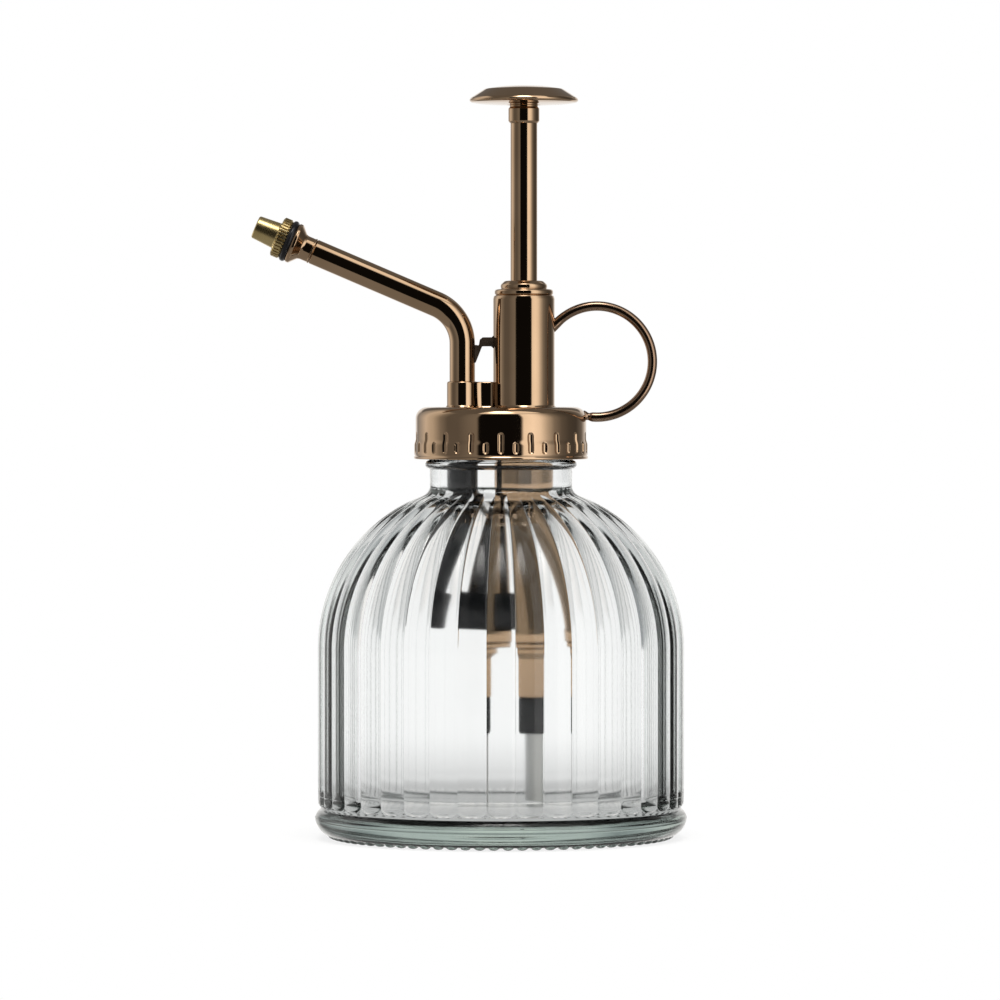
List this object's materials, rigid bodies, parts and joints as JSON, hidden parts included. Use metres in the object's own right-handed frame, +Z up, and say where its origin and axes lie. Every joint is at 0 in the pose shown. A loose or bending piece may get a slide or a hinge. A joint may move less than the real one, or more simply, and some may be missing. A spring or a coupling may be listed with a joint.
{
  "type": "hand mister",
  "caption": "Hand plant mister: fluted glass bottle with a screw-on plunger pump, bent spout, adjustable mist nozzle and finger ring.",
  "frame": {"origin": "centre of the bottle's resting face, on the bottle's axis", "axes": "+Z up along the bottle's axis, -X towards the spout, +X towards the finger ring"},
  "size_m": [0.0913, 0.078, 0.1576],
  "materials": {
    "glass": "clear, faintly green in thick sections",
    "bronze_plate": "polished dark bronze plating",
    "brass": "machined bare brass",
    "steel": "bright stainless",
    "black_rubber": "smooth",
    "black_plastic": "moulded, glossy",
    "white_plastic": "moulded acetal",
    "clear_plastic": "translucent extruded tube",
    "glass_bead": "polished ball"
  },
  "bodies": {
    "bottle": {"bottle": "glass"},
    "gasket": {"cap_gasket": "black_rubber"},
    "head": {"screw_cap": "bronze_plate", "turret": "bronze_plate", "pump_barrel": "bronze_plate", "retaining_nut": "black_plastic", "gland_nut": "bronze_plate", "rod_seal": "black_rubber", "seal_washer": "steel", "spout_tube": "bronze_plate", "spout_brace": "bronze_plate", "spout_fitting": "bronze_plate", "swirl_insert": "white_plastic", "handle_ring": "bronze_plate", "return_spring": "steel", "valve_block": "black_plastic", "outlet_spring": "steel", "riser_tube": "black_plastic", "foot_valve_body": "bronze_plate", "ball_retainer": "white_plastic", "tube_adapter": "black_plastic", "dip_tube": "clear_plastic"},
    "plunger": {"knob": "bronze_plate", "knob_ferrule": "bronze_plate", "plunger_rod": "bronze_plate", "piston_head": "white_plastic", "piston_seal": "black_rubber", "piston_nut": "brass"},
    "seal": {"nozzle_seal": "black_rubber"},
    "nozzle": {"nozzle": "brass"},
    "inlet_ball": {"inlet_ball": "glass_bead"},
    "outlet_ball": {"outlet_ball": "glass_bead"}
  },
  "joints": [
    {"name": "cap_lift", "type": "slide", "parent": "bottle", "child": "gasket", "axis": [0, 0, 1], "range_m": [0, 0.004]},
    {"name": "cap_turn", "type": "hinge", "parent": "gasket", "child": "head", "pos_m": [0, 0, 0.0894], "axis": [0, 0, 1], "range_deg": [0, 360]},
    {"name": "plunger_slide", "type": "slide", "parent": "head", "child": "plunger", "axis": [0, 0, -1], "range_m": [0, 0.028], "stiffness_N_per_m": 250, "springref_m": -0.012, "deforming": ["return_spring"]},
    {"name": "nozzle_advance", "type": "slide", "parent": "head", "child": "seal", "axis": [-0.9191, 0, 0.3939], "range_m": [0, 0.0007]},
    {"name": "nozzle_turn", "type": "hinge", "parent": "seal", "child": "nozzle", "pos_m": [-0.0081, 0, 0.1096], "axis": [-0.9191, 0, 0.3939], "range_deg": [0, 360]},
    {"name": "inlet_ball_lift", "type": "slide", "parent": "head", "child": "inlet_ball", "axis": [0, 0, 1], "range_m": [0, 0.0015]},
    {"name": "outlet_ball_lift", "type": "slide", "parent": "head", "child": "outlet_ball", "axis": [0, 0, 1], "range_m": [0, 0.001], "deforming": ["outlet_spring"]}
  ],
  "couplings": [
    {"joint": "cap_turn", "follows": "cap_lift", "rad_per_m": 1570.8},
    {"joint": "nozzle_turn", "follows": "nozzle_advance", "rad_per_m": 8976}
  ]
}
